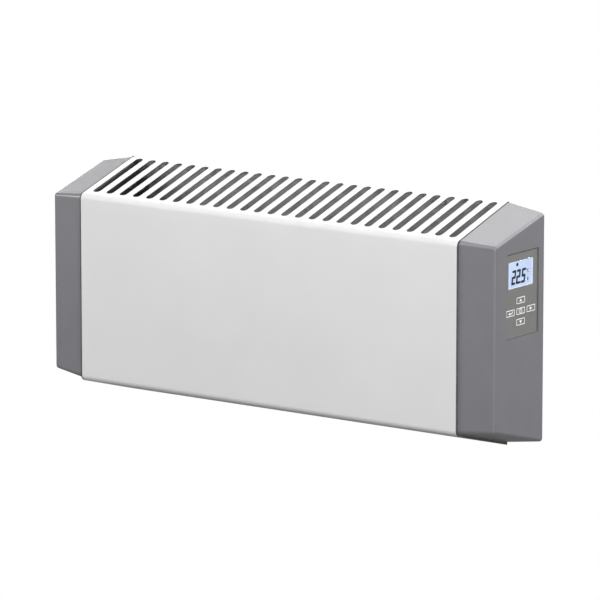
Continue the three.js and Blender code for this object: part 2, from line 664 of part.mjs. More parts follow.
// Rear scroll with its two end plates and two feet on the back plate.
function fanHousing() {
  const { half, front, rear, bottom, top, scrollStart, scrollEnd, footHalf, couplingHole } = HOUSING;
  const ductY = FAN.y + scrollEnd;
  const scroll = [
    ...arcPoints(AXLE, (share) => THREE.MathUtils.lerp(scrollStart, scrollEnd, share), -100, 0, 8),
    [ductY, top],
  ];
  const wall = prism('x', bentSheet(scroll.reverse(), THIN_SHEET), -half, half);
  const outline = rounded([[front, bottom, 8], [rear, bottom, 8], [rear, top, 3], [front, top, 3]], 2);
  const plates = [-half - THIN_SHEET, half].map((x) => prism('x', outline, x, x + THIN_SHEET));
  const feet = HOUSING_SCREWS.map(([x, z]) => box(
    [x - footHalf, x + footHalf],
    [ductY - THIN_SHEET / 2, BACK.pan.floor - THIN_SHEET - GAP],
    [z - footHalf, z + footHalf],
  ));
  const footHoles = HOUSING_SCREWS.map(([x, z]) =>
    screwClearance('y', ductY + 1.5, BACK.pan.floor, [z, x]));
  const bearingHole = rod('x', BEARING.cushion + GAP, -half - 3, -half + 3, AXLE);
  const driveHole = rod('x', couplingHole, half - 3, half + 3, AXLE);
  return cut(join(wall, ...plates, ...feet), bearingHole, driveHole, ...footHoles);
}

add('fan_housing', fanHousing(), 'galvanised');

function fanTongue() {
  const reach = HOUSING.half - GAP;
  const path = [TONGUE.lip, TONGUE.knee, [TONGUE.knee[0], TONGUE.top]];
  return prism('x', bentSheet(path, THIN_SHEET), -reach, reach);
}

// A ring about the fan's axle in the left end plate.
function bearingRing(inner, outer, half) {
  const middle = -HOUSING.half - THIN_SHEET;
  return sleeve('x', inner, outer, middle - half, middle + half, AXLE);
}

add('fan_tongue', fanTongue(), 'galvanised');
add('bearing_cushion', bearingRing(BEARING.bush + GAP, BEARING.cushion, BEARING.cushionHalf), 'rubber');
add('bearing_bush', bearingRing(SHAFT_RADIUS + GAP, BEARING.bush, BEARING.bushHalf), 'bronze');

// ---- Shaded-pole motor on the fan's right end ----

const MOTOR_SCREWS = [-1, 1].map((side) => [FAN.y + side * MOTOR.screwY, FAN.z]);

function motorStator() {
  const { front, rear, bore, half, top, windowHalf, windowTop, windowBottom, screwHole: hole } = MOTOR;
  const core = box([front, rear], [FAN.y - half, FAN.y + half], [FAN.z - half, top]);
  const window = box(
    [front - 1, rear + 1],
    [FAN.y - windowHalf, FAN.y + windowHalf],
    [windowBottom, windowTop],
  );
  const holes = MOTOR_SCREWS.map((place) => rod('x', hole, front - 1, rear + 1, place, 8));
  return cut(core, window, rod('x', bore, front - 1, rear + 1, AXLE, 20), ...holes);
}

function motorCoil() {
  const { front, rear, top, windowTop } = MOTOR;
  const outer = box(
    [front - COIL.front, rear + COIL.rear],
    [FAN.y - COIL.half, FAN.y + COIL.half],
    [windowTop - COIL.height, top + COIL.height],
  );
  const limb = box(
    [front - GAP, rear + GAP],
    [FAN.y - COIL.half - 1, FAN.y + COIL.half + 1],
    [windowTop - GAP, top + GAP],
  );
  return cut(outer, limb);
}

// A bearing plate across the stator; legs reach from it to the fan housing.
function motorBracket(x, legEnd) {
  const y = [FAN.y - MOTOR.half, FAN.y + MOTOR.half];
  const z = [FAN.z - MOTOR.bracketHalf, FAN.z + MOTOR.bracketHalf];
  const plate = box([x, x + PLATE], y, z);
  const legs = legEnd === undefined ? [] : [
    box([legEnd, x + PLATE], [y[0], y[0] + PLATE], z),
    box([legEnd, x + PLATE], [y[1] - PLATE, y[1]], z),
  ];
  const holes = MOTOR_SCREWS.map((place) => screwClearance('x', x - 1, x + 2, place));
  return cut(join(plate, ...legs), rod('x', SHAFT_RADIUS + GAP, x - 1, x + 2, AXLE), ...holes);
}

function motorRotor() {
  return join(
    rod('x', MOTOR.rotor, MOTOR.front - 0.5, MOTOR.rear + 0.5, AXLE, 20),
    rod('x', SHAFT_RADIUS, FAN.right + FAN.rightStub + 0.5, MOTOR.rear + 7, AXLE),
  );
}

add('motor_stator', motorStator(), 'galvanised');
add('motor_coil', motorCoil(), 'winding');
add('motor_rotor', motorRotor(), 'aluminium');
add('motor_front_bracket', motorBracket(MOTOR.frontBracket, HOUSING.half + THIN_SHEET + GAP), 'galvanised');
add('motor_rear_bracket', motorBracket(MOTOR.rearBracket), 'galvanised');
add('shaft_coupling',
  sleeve('x', SHAFT_RADIUS + GAP, COUPLING.radius, COUPLING.left, COUPLING.right, AXLE), 'rubber');
MOTOR_SCREWS.forEach((place, i) => {
  const seat = MOTOR.rearBracket + PLATE + GAP;
  add(`motor_screw_${i + 1}`, screw('x', seat, seat - MOTOR.frontBracket + 3, place), 'zinc');
});

// ---- Finned heating element and its holders ----

function heatingElement() {
  const { z, y, tube, right, bendX, pin, pinLength, fins, finPitch } = ELEMENT;
  const bendRadius = (y[1] - y[0]) / 2;
  const middle = (y[0] + y[1]) / 2;
  const legs = y.map((place) => rod('x', tube, bendX, right, [place, z], 8));
  const torus = new THREE.TorusGeometry(bendRadius, tube, 8, 16);
  torus.translate(bendX, middle, z);
  const bend = toSolid(torus).intersect(box([-FAR, bendX + 0.5], [-FAR, 0], [-FAR, FAR]));
  const pins = y.map((place) => rod('x', pin, right - 1, right + pinLength, [place, z], 6));
  const plates = Array.from({ length: fins }, (_, i) => {
    const x = (i - (fins - 1) / 2) * finPitch;
    const across = [x - FIN.thickness / 2, x + FIN.thickness / 2];
    return box(across, [FIN.front, FIN.rear], [z - FIN.half, z + FIN.half]);
  });
  return join(...legs, bend, ...pins, ...plates);
}

function elementHolder() {
  const { x, thickness, front, rear, bottom, top, tabInset, tabHeight } = HOLDER;
  const wallX = BULKHEAD.inner - GAP;
  const plate = box([x, x + thickness], [front, rear], [bottom, top]);
  const shelf = box([x, wallX], [front, rear], [top - thickness, top]);
  const tab = box(
    [wallX - thickness, wallX],
    [front + tabInset, rear - tabInset],
    [top - thickness, top + tabHeight],
  );
  const holes = ELEMENT.y.map((y) => rod('x', ELEMENT.tube + 0.5, x - 1, x + thickness + 1, [y, ELEMENT.z]));
  return cut(join(plate, shelf, tab), ...holes);
}

add('heating_element', heatingElement(), 'aluminium');
add('element_holder_right', elementHolder(), 'ceramic');
add('element_holder_left', elementHolder().mirror([1, 0, 0]), 'ceramic');

// ---- Electrical parts ----

function thermalCutout() {
  const { y, z, depth, radius, flange, flangeDepth } = CUTOUT;
  const seat = BULKHEAD.inner - GAP;
  const profile = [
    [0, seat - depth],
    [radius - 1, seat - depth],
    [radius, seat - depth + 1],
    [radius, seat - flangeDepth],
    [flange, seat - flangeDepth],
    [flange, seat],
    [0, seat],
  ];
  return turned('x', profile, [y, z]);
}

function powerBoard() {
  const { x, thickness, front, rear, bottom, top } = POWER_BOARD;
  const holes = PILLAR.places.map((place) => screwClearance('x', x - 1, x + thickness + 1, place));
  return cut(box([x, x + thickness], [front, rear], [bottom, top]), ...holes);
}

function relay() {
  return prism('x', roundedRectangle(RELAY.y, RELAY.z, 1, 2), BOARD_TOP, BOARD_TOP + RELAY.height);
}

// Blades on a base that stands on the power board.
function triacHeatsink() {
  const { y, z, base, blades, pitch, blade, height } = HEATSINK;
  const foot = box([BOARD_TOP, BOARD_TOP + base], y, z);
  const stems = Array.from({ length: blades }, (_, i) => {
    const front = y[0] + i * pitch;
    return box([BOARD_TOP + base - 1, BOARD_TOP + height], [front, front + blade], z);
  });
  return join(foot, ...stems);
}

// A block with a wire entry below and a screw head on top for each pole.
function terminalBlock() {
  const { y, z, height, poles, entry, head } = TERMINALS;
  const body = box([BOARD_TOP, BOARD_TOP + height], y, z);
  const entries = poles.map((place) => rod('z', entry, z[0] - 1, z[0] + 10, [BOARD_TOP + 5, place], 10));
  const heads = poles.map((place) =>
    rod('x', head, BOARD_TOP + height - 4, BOARD_TOP + height + 1, [place, z[0] + 8], 10));
  return cut(body, ...entries, ...heads);
}

function cableGland() {
  const { x, z, bore, thread, nut, tail } = GLAND;
  const floor = BACK.pan.floor;
  const profile = [
    [bore, floor - 8],
    [thread, floor - 8],
    [thread, floor + GAP],
    [nut, floor + GAP],
    [nut, floor + 4],
    [tail, floor + 9],
    [bore, floor + 9],
    [bore, floor - 8],
  ];
  return turned('y', profile, [z, x]);
}

// A probe that reaches inwards from the right bulkhead.
function airSensor() {
  const { y, z, tip, bead, flange } = SENSOR;
  const seat = BULKHEAD.inner - GAP;
  const profile = [
    [0, tip],
    [bead - 1, tip + 0.5],
    [bead, tip + 3],
    [bead, seat - 3.7],
    [flange, seat - 3.7],
    [flange, seat],
    [0, seat],
  ];
  return turned('x', profile, [y, z]);
}

add('thermal_cutout', thermalCutout(), 'ceramic');
add('power_board', powerBoard(), 'board');
add('relay', relay(), 'blackPlastic');
add('triac_heatsink', triacHeatsink(), 'aluminium');
add('terminal_block', terminalBlock(), 'ceramic');
add('cable_gland', cableGland(), 'blackPlastic');
add('air_sensor', airSensor(), 'blackPlastic');

// ---- Rubber bumpers that keep the lower edge off the wall ----

function bumper(x) {
  const { z, radius, taper, seatDepth, tip } = BUMPER;
  const seat = BACK.rear + GAP;
  const profile = [[0, seat], [radius, seat], [radius, seat + seatDepth], [radius - taper, tip], [0, tip]];
  return turned('y', profile, [z, x], 16);
}

add('bumper_left', bumper(-BUMPER.x), 'rubber');
add('bumper_right', bumper(BUMPER.x), 'rubber');

export default group;
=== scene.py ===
import json
import math

import bmesh
import bpy
from mathutils import Matrix, Vector


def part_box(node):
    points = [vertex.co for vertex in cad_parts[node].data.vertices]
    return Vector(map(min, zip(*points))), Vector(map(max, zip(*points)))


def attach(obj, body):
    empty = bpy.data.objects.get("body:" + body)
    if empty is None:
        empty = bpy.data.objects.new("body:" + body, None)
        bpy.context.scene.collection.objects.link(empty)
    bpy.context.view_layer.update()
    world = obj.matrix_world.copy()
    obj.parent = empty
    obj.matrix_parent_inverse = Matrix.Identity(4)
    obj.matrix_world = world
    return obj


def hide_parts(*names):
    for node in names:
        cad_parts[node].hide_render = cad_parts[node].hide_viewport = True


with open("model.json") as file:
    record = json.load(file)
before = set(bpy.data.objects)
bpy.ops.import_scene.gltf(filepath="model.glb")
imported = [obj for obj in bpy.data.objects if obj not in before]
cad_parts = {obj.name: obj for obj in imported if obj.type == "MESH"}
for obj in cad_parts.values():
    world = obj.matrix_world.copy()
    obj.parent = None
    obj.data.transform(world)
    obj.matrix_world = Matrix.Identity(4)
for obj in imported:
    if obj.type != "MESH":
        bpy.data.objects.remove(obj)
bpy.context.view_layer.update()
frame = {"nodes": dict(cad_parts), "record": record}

MM = 0.001
SAME_POINT = 1e-6  # in metres

# ---- Dimensions, in millimetres ----


def node_box(name):
    """Lowest and highest corner of a CAD node, in millimetres."""
    low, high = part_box(name)
    return low / MM, high / MM


CASING_LOW, CASING_HIGH = node_box("front_casing")
FRONT, REAR = CASING_LOW.y, CASING_HIGH.y
REAR_HALF = 118.2  # half height of the section at the rear
FRONT_HALF = 93.2  # half height of the section at the front
SLOPE = math.atan2(REAR_HALF - FRONT_HALF, REAR - FRONT)
SHEET = 0.8
CASING_END = CASING_HIGH.x
RETURN_FLANGE = 12.0
FRONT_BEND = 6.8
REAR_BEND = 1.5
CLEARANCE = 0.3  # gap round the fascia, the lens and the keys

SLOT_COUNT, SLOT_PITCH, SLOT_RADIUS = 27, 16.0, 4.0
OUTLET = (-81.7, -5.1)  # y of the tips of the outlet slots
INLET = (-78.0, -22.0)  # y of the tips of the inlet slots
SLOT_MARGINS = (1.3, 0.7)  # from the tips to the rows of points that close in the slots

SEAM = node_box("right_end_cap")[0].x + 7.0
CAP_STEP, CAP_WALL = 1.35, 3.0
CAP_EDGE_Y = -81.1  # front edge of the cap's outer face
# rear: rear edge; edge_x: half length at the outer face's front edge; draft: lean of the outer face;
# drop: outer edge below the casing's top line; lift: height above a place midway
RIGHT = {"rear": -0.3, "edge_x": 257.0, "draft": math.atan(0.056), "drop": 7.2, "lift": 1.2}
LEFT = {"rear": -0.5, "edge_x": 259.3, "draft": math.atan(-0.035), "drop": 7.5, "lift": 0.85}
CAP_EDGE, CAP_REAR_EDGE = 3.5, 3.2  # rounding of the front corners and of the rear ones
CAP_LIP, LIP_INSET, LIP_CORNER = (214.0, 221.5), 2.4, 0.6
FLANGE_ROOM = -8.6  # the locating lip stops here, in front of the casing's rear flanges
BOSS_Y, BOSS_Z, BOSS_RADIUS, BOSS_FOOT = -20.0, 92.0, 4.0, 212.5
SCREW_HOLE, SCREW_HOLE_RADIUS = (211.0, 226.0), 1.75

PANEL_Y = -39.0
PANEL_SPAN = ((-24.0, 28.2), (-1.1, 80.7))  # along y and z, in the panel's own frame
PANEL_RADIUS, PANEL_RECESS, FASCIA_TOP = 1.5, 2.0, -0.9
SHADOW_GAP = 1.1  # beside the fascia's top and rear edges
DISPLAY_OPENING = ((-23.4, 23.4), (43.2, 75.6))
KEY_OPENING = ((-23.9, 24.9), (8.1, 39.2))
DISPLAY_HALF, DISPLAY_Z = 20.3, (46.4, 72.4)
DISPLAY_BORDER = (0.3, 1.1)  # distances of the glowing border, a painted highlight along the lens's edge, from the window's edge
WINDOW_CORNER, LENS_CORNER, BORDER_CORNER = 0.5, 0.4, 0.2
WALL_CUT, FASCIA_CUT = (-5, 1), (-4, 1)  # where cutters start and end, past both faces
INK = (-1.98, -1.9)  # back and front of the display's segments
KEY_SIZE, KEY_PITCH, KEY_Z = (14.0, 6.7), (16.65, 10.35), 23.6
KEY_TOP, KEY_BACK, KEY_CORNER = -0.7, -4.2, 1.2
KEY_LINE = (-0.2, -0.95)  # the printed outline's edges, from the key's edge
PRINT = (KEY_TOP - 0.02, KEY_TOP + 0.05)
KEYS = {
    "key_up": (0, 1),
    "key_down": (0, -1),
    "key_left": (-1, 0),
    "key_right": (1, 0),
    "key_centre": (0, 0),
}

# ---- Flat outlines ----


def round_corner(a, b, c, radius, steps):
    """Points of the arc that rounds the corner at b between a and c."""
    b = Vector(b)
    back, ahead = (Vector(a) - b).normalized(), (Vector(c) - b).normalized()
    half = math.acos(max(-1.0, min(1.0, back.dot(ahead)))) / 2
    centre = b + (back + ahead).normalized() * radius / math.sin(half)
    start = b + back * radius / math.tan(half) - centre
    side = back.x * ahead.y - back.y * ahead.x
    turn = -math.copysign(math.pi - 2 * half, side)
    points = []
    for i in range(steps + 1):
        angle = turn * i / steps
        points.append(Vector((
            centre.x + start.x * math.cos(angle) - start.y * math.sin(angle),
            centre.y + start.x * math.sin(angle) + start.y * math.cos(angle),
        )))
    return points


def rounded(corners, steps=8):
    """A closed outline. Each corner is (a, b, radius)."""
    points = []
    for i, (a, b, radius) in enumerate(corners):
        before, after = corners[i - 1], corners[(i + 1) % len(corners)]
        if radius > 0:
            points += round_corner(before[:2], (a, b), after[:2], radius, steps)
        else:
            points.append(Vector((a, b)))
    return points


def rectangle(span_a, span_b, radius=0.0):
    (a0, a1), (b0, b1) = span_a, span_b
    return rounded([(a0, b0, radius), (a1, b0, radius), (a1, b1, radius), (a0, b1, radius)])


def circle(centre, radius, count=32):
    angles = [2 * math.pi * i / count for i in range(count)]
    return [Vector((centre[0] + radius * math.cos(t), centre[1] + radius * math.sin(t)))
            for t in angles]


# ---- Meshes ----


def mesh_of(name, bm):
    """Closes a bmesh in millimetres into a mesh in metres."""
    bmesh.ops.scale(bm, vec=(MM, MM, MM), verts=bm.verts)
    bmesh.ops.recalc_face_normals(bm, faces=bm.faces)
    mesh = bpy.data.meshes.new(name)
    bm.to_mesh(mesh)
    bm.free()
    return mesh


def loose(name, bm):
    """An object that no body carries yet."""
    obj = bpy.data.objects.new(name, mesh_of(name, bm))
    bpy.context.scene.collection.objects.link(obj)
    return obj


# What turns (a, b, height) into (height, a, b), for prisms along x
ALONG_X = Matrix(((0, 0, 1, 0), (1, 0, 0, 0), (0, 1, 0, 0), (0, 0, 0, 1)))


def outer_x(hand, y):
    """Half length at the cap's outer face, at a depth."""
    return hand["edge_x"] + (y - CAP_EDGE_Y) * math.tan(hand["draft"])


# From the panel's own frame, which leans with the right cap's outer face, to the frame
ON_PANEL = (Matrix.Translation((outer_x(RIGHT, PANEL_Y), PANEL_Y, 0))
            @ Matrix.Rotation(-RIGHT["draft"], 4, "Z"))


def add_prism(bm, outline, low, high, matrix):
    """Adds a prism between two heights. The matrix places (a, b, height)."""
    rings = [[bm.verts.new(matrix @ Vector((p[0], p[1], h))) for p in outline]
             for h in (low, high)]
    bm.faces.new(rings[0][::-1])
    bm.faces.new(rings[1])
    count = len(outline)
    for i in range(count):
        j = (i + 1) % count
        bm.faces.new((rings[0][i], rings[0][j], rings[1][j], rings[1][i]))


def prism(name, outline, low, high, place=Matrix.Identity(4)):
    """A prism along x whose outline holds (y, z)."""
    bm = bmesh.new()
    add_prism(bm, outline, low, high, place @ ALONG_X)
    return loose(name, bm)


def apply_modifiers(obj):
    """Turns an object's modifiers into its mesh."""
    evaluated = obj.evaluated_get(bpy.context.evaluated_depsgraph_get())
    mesh = bpy.data.meshes.new_from_object(evaluated)
    old = obj.data
    obj.modifiers.clear()
    obj.data = mesh
    bpy.data.meshes.remove(old)


def combine(obj, operation, *tools):
    """Applies one boolean operation with each tool and removes the tools."""
    for tool in tools:
        modifier = obj.modifiers.new("boolean", "BOOLEAN")
        modifier.operation = operation
        modifier.solver = "EXACT"
        modifier.object = tool
        apply_modifiers(obj)
        old = tool.data
        bpy.data.objects.remove(tool)
        bpy.data.meshes.remove(old)
    bm = bmesh.new()
    bm.from_mesh(obj.data)
    bmesh.ops.remove_doubles(bm, verts=bm.verts, dist=SAME_POINT)
    bmesh.ops.dissolve_degenerate(bm, edges=bm.edges, dist=SAME_POINT)
    bm.to_mesh(obj.data)
    bm.free()
    return obj


def soften(obj, width, segments=2, angle=32.0, weld=0.0):
    """Rounds the sharp edges by a width in millimetres and shades the piece smooth."""
    obj.data.polygons.foreach_set("use_smooth", [True] * len(obj.data.polygons))
    if weld:
        obj.modifiers.new("weld", "WELD").merge_threshold = weld * MM
    bevel = obj.modifiers.new("bevel", "BEVEL")
    bevel.width = width * MM
    bevel.segments = segments
    bevel.limit_method = "ANGLE"
    bevel.angle_limit = math.radians(angle)
    bevel.use_clamp_overlap = True
    bevel.miter_outer = "MITER_ARC"
    normals = obj.modifiers.new("normals", "WEIGHTED_NORMAL")
    normals.keep_sharp = True
    normals.weight = 80
    return obj


def dress(obj, body, slot, *replaced, material=None):
    """Gives a piece its finish, its body and the CAD nodes that it stands for."""
    obj.data.materials.clear()
    obj.data.materials.append(material or FINISH[slot])
    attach(obj, body)
    if replaced:
        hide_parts(*replaced)


# ---- Materials ----


class Finish:
    """A Principled material whose patterns follow the piece's own coordinates."""

    def __init__(self, name, metallic=0.0, **sockets):
        self.name = name  # the frame's own materials may already hold this name in Blender
        self.material = bpy.data.materials.new(name)
        self.material.use_nodes = True
        self.nodes = self.material.node_tree.nodes
        self.links = self.material.node_tree.links
        self.shader = self.nodes["Principled BSDF"]
        self.shader.inputs["Metallic"].default_value = metallic
        for socket, value in sockets.items():
            self.shader.inputs[socket.replace("_", " ")].default_value = value
        self.place = self.nodes.new("ShaderNodeTexCoord").outputs["Object"]
        self.normal = None

    def stretched(self, scale):
        """Coordinates stretched along an axis, for brushed and rolled surfaces."""
        node = self.nodes.new("ShaderNodeMapping")
        node.inputs["Scale"].default_value = scale
        self.links.new(self.place, node.inputs["Vector"])
        return node.outputs["Vector"]

    def noise(self, size, detail=3.0, place=None):
        """Noise whose lumps are about size millimetres across."""
        node = self.nodes.new("ShaderNodeTexNoise")
        node.inputs["Scale"].default_value = 1 / (size * MM)
        node.inputs["Detail"].default_value = detail
        self.links.new(place or self.place, node.inputs["Vector"])
        return node.outputs["Fac"]

    def cells(self, size, output="Distance"):
        """Cells about size millimetres across."""
        node = self.nodes.new("ShaderNodeTexVoronoi")
        node.inputs["Scale"].default_value = 1 / (size * MM)
        self.links.new(self.place, node.inputs["Vector"])
        return node.outputs[output]

    def ramp(self, socket, value, first, second, low=0.3, high=0.7):
        """Colours a socket from one colour to another as the value goes from low to high."""
        node = self.nodes.new("ShaderNodeValToRGB")
        ends = node.color_ramp.elements
        ends[0].position, ends[1].position = low, high
        ends[0].color, ends[1].color = (*first, 1), (*second, 1)
        self.links.new(value, node.inputs["Fac"])
        self.links.new(node.outputs["Color"], self.shader.inputs[socket])

    def colour(self, value, first, second, low=0.3, high=0.7):
        self.ramp("Base Color", value, first, second, low, high)
        return self

    def rough(self, value, low, high, from_low=0.3, from_high=0.7):
        """Roughness from low to high as the value goes from from_low to from_high."""
        node = self.nodes.new("ShaderNodeMapRange")
        for socket, number in (("From Min", from_low), ("From Max", from_high),
                               ("To Min", low), ("To Max", high)):
            node.inputs[socket].default_value = number
        self.links.new(value, node.inputs["Value"])
        self.links.new(node.outputs["Result"], self.shader.inputs["Roughness"])
        return self

    def bump(self, height, depth):
        """Adds relief of a depth in millimetres."""
        node = self.nodes.new("ShaderNodeBump")
        node.inputs["Strength"].default_value = 1.0
        node.inputs["Distance"].default_value = depth * MM
        self.links.new(height, node.inputs["Height"])
        if self.normal:
            self.links.new(self.normal, node.inputs["Normal"])
        self.normal = node.outputs["Normal"]
        self.links.new(self.normal, self.shader.inputs["Normal"])
        return self

    def glow(self, value, first, second, strength):
        """Light of its own that varies from one colour to another."""
        self.ramp("Emission Color", value, first, second)
        self.shader.inputs["Emission Strength"].default_value = strength
        return self

    def painted_glow(self, strength):
        """A constant light of its own: painted light that makes a white print read brighter."""
        self.shader.inputs["Emission Color"].default_value = (1.0, 1.0, 1.0, 1.0)
        self.shader.inputs["Emission Strength"].default_value = strength
        return self


def grey(level, tint=(1.0, 1.0, 1.0)):
    return tuple(level * t for t in tint)


def powder_coat():
    f = Finish("white_powder_coat", Specular_IOR_Level=0.45)
    f.colour(f.noise(60), grey(0.775), grey(0.8, (1, 1, 1.004)))
    f.rough(f.noise(9), 0.36, 0.44)
    return f.bump(f.noise(1.1, 2), 0.012).bump(f.noise(0.35, 1), 0.004)


def moulded_plastic():
    f = Finish("grey_plastic", Specular_IOR_Level=0.5, Coat_Weight=0.9, Coat_Roughness=0.25)
    level, tint = 0.212, (1.0, 0.985, 1.07)
    f.colour(f.noise(30), grey(level * 0.97, tint), grey(level * 1.03, tint))
    f.rough(f.noise(5), 0.39, 0.46)
    return f.bump(f.noise(0.45, 2), 0.02).bump(f.cells(0.7), 0.01)


def galvanised():
    f = Finish("galvanised_steel", metallic=0.85)
    flakes = f.cells(7.0, output="Color")
    f.colour(flakes, grey(0.44, (0.98, 1, 1.02)), grey(0.6, (0.99, 1, 1.02)), 0.1, 0.9)
    f.rough(flakes, 0.34, 0.5, 0.0, 1.0)
    return f.bump(f.cells(7.0), 0.02).bump(f.noise(0.8, 3), 0.006)


def film(name, level):
    f = Finish(name, Specular_IOR_Level=0.4)
    tint = (1.0, 1.0, 0.96)
    f.colour(f.noise(12), grey(level * 0.97, tint), grey(level * 1.03, tint))
    f.rough(f.noise(1.5), 0.5, 0.58)
    return f.bump(f.noise(0.25, 2), 0.008)


def rolled_metal(name, level, tint, rough, along=(1, 12, 12)):
    f = Finish(name, metallic=0.9)
    grain = f.noise(9.0, 4, f.stretched(along))
    f.colour(grain, grey(level * 0.88, tint), grey(level, tint))
    f.rough(grain, rough - 0.07, rough + 0.07)
    return f.bump(grain, 0.01)


def laminated():
    f = Finish("lamination_steel", metallic=0.6)
    sheets = f.noise(20.0, 2, f.stretched((40, 0.2, 0.2)))
    f.colour(sheets, grey(0.1), grey(0.3, (1, 0.99, 0.97)))
    f.rough(sheets, 0.4, 0.6)
    return f.bump(sheets, 0.15)


def wound_wire():
    f = Finish("copper_winding", metallic=0.6, Coat_Weight=0.3)
    turns = f.noise(12.0, 1, f.stretched((0.4, 0.4, 22)))
    f.colour(turns, (0.22, 0.07, 0.025), (0.55, 0.22, 0.08))
    f.rough(turns, 0.3, 0.5)
    return f.bump(turns, 0.2)


def circuit():
    f = Finish("circuit_board", Specular_IOR_Level=0.55)
    tracks = f.cells(4.0, output="Color")
    f.colour(tracks, (0.012, 0.11, 0.04), (0.03, 0.2, 0.08), 0.35, 0.45)
    f.rough(f.noise(3), 0.28, 0.4)
    return f.bump(tracks, 0.03)


def soft_black(name, level, rough, grain):
    f = Finish(name, Specular_IOR_Level=0.35)
    f.colour(f.noise(8), grey(level * 0.8), grey(level * 1.3))
    f.rough(f.noise(2), rough - 0.06, rough + 0.06)
    return f.bump(f.noise(grain, 3), 0.03)


def ceramic():
    f = Finish("ceramic_insulation", Specular_IOR_Level=0.4)
    f.colour(f.noise(6), (0.62, 0.58, 0.5), (0.74, 0.7, 0.62))
    f.rough(f.noise(2), 0.62, 0.78)
    return f.bump(f.noise(0.6, 4), 0.04)


def clear():
    f = Finish("clear_lens", Transmission_Weight=1.0, IOR=1.49)
    f.colour(f.noise(20), (0.97, 0.98, 1.0), (0.99, 1.0, 1.0))
    f.rough(f.noise(20), 0.0, 0.02)
    return f


# A backlit display's glow; also used for the painted highlight round the display window
def backlight_and_highlight(name, first, second, strength):
    f = Finish(name, Specular_IOR_Level=0.3)
    f.colour(f.noise(15), (0.3, 0.36, 0.5), (0.34, 0.4, 0.54))
    f.rough(f.noise(4), 0.3, 0.4)
    return f.glow(f.noise(28, 0), first, second, strength)


# A flat colour for real print, and also for the painted shade on the casing's cut edges
def ink_and_shade(name, level, tint, rough=0.5):
    f = Finish(name, Specular_IOR_Level=0.3)
    f.colour(f.noise(2), grey(level * 0.94, tint), grey(level, tint))
    f.rough(f.noise(1), rough - 0.05, rough + 0.05)
    return f.bump(f.noise(0.2, 1), 0.004)


FINISH = {finish.name: finish.material for finish in (
    powder_coat(),
    moulded_plastic(),
    galvanised(),
    film("fascia_film", 0.21),
    film("key_film", 0.215),
    clear(),
    backlight_and_highlight("display_backlight", (0.58, 0.68, 0.92), (0.66, 0.75, 0.95), 0.8),
    circuit(),
    soft_black("silicone", 0.1, 0.6, 0.8),
    rolled_metal("aluminium", 0.72, (1, 1, 1.01), 0.34),
    rolled_metal("zinc_plated_steel", 0.62, (1, 0.99, 0.95), 0.28, along=(6, 1, 6)),
    laminated(),
    wound_wire(),
    rolled_metal("bronze", 0.5, (1, 0.62, 0.25), 0.38),
    # Painted shade: the inner end frames take this black so that the view through the end slots goes
    # dark, standing in for the shadow inside the casing
    soft_black("black_enamel", 0.045, 0.5, 0.9),
    soft_black("black_plastic", 0.022, 0.45, 0.6),
    soft_black("black_rubber", 0.1, 0.78, 1.1),
    ceramic(),
)}
# The keys' white print is its real colour; its slight glow is painted light
LIGHT_INK = ink_and_shade("light_ink", 0.9, (1, 1, 1)).painted_glow(0.1).material
# Painted shade: the sheet's cut edges, the slot walls among them, get a near-black colour that stands
# in for their shadow
PAINTED_EDGE_SHADE = ink_and_shade("painted_edge_shade", 0.06, (1, 1, 1.02), 0.6).material
# Painted highlight: a brighter glowing ring just inside the display window stands in for the light
# that the lens's edge catches
PAINTED_EDGE_HIGHLIGHT = backlight_and_highlight("display_edge_highlight", (0.78, 0.87, 1.0), (0.84, 0.92, 1.0), 0.85).material
LCD_INK = ink_and_shade("segment_ink", 0.01, (1.0, 1.4, 2.6), 0.35).material

# ---- Casing: one folded sheet with outlet slots on top and inlet slots below ----


def top_at(y, inset=0.0):
    """Height of the top surface at a depth, lowered by an inset square to it."""
    return FRONT_HALF + (y - FRONT) * math.tan(SLOPE) - inset / math.cos(SLOPE)


def slot_rows(side):
    """y of the two rows that close in the slots of the top (1) or the underside (-1)."""
    front, rear = OUTLET if side > 0 else INLET
    return front - SLOT_MARGINS[0], rear + SLOT_MARGINS[1]


def casing_profile():
    """Points (y, z) of the sheet's outer face, from the upper rear flange to the lower one."""
    flange = REAR_HALF - RETURN_FLANGE
    path = [(REAR, flange), (REAR, REAR_HALF), (FRONT, FRONT_HALF),
            (FRONT, -FRONT_HALF), (REAR, -REAR_HALF), (REAR, -flange)]
    radii = [0, REAR_BEND, FRONT_BEND, FRONT_BEND, REAR_BEND, 0]
    points = [Vector(path[0])]
    for i in range(1, len(path) - 1):
        points += round_corner(path[i - 1], path[i], path[i + 1], radii[i], 10)
        if i in (1, 3):
            side = 1 if i == 1 else -1
            rows = slot_rows(side)
            rows = rows[::-1] if side > 0 else rows
            points += [Vector((y, side * top_at(y))) for y in rows]
    return points + [Vector(path[-1])]


def half_slot(bm, x, hand, side, corners):
    """One half of the sheet round a slot, as one face between the half cell's four corners."""
    front, rear = OUTLET if side > 0 else INLET
    steps = 10
    run = (rear - front) / math.cos(SLOPE)
    arc = [math.pi * i / (2 * steps) for i in range(steps + 1)]
    near = [(hand * SLOT_RADIUS * math.sin(t), SLOT_RADIUS * (1 - math.cos(t))) for t in arc]
    far = [(a, run - b) for a, b in reversed(near)]
    edge = []
    for across, along in near + far:
        y = front + along * math.cos(SLOPE)
        edge.append(bm.verts.new((x + across, y, side * top_at(y))))
    near_middle, near_outer, far_outer, far_middle = corners
    bm.faces.new([near_outer, near_middle, *edge, far_middle, far_outer])


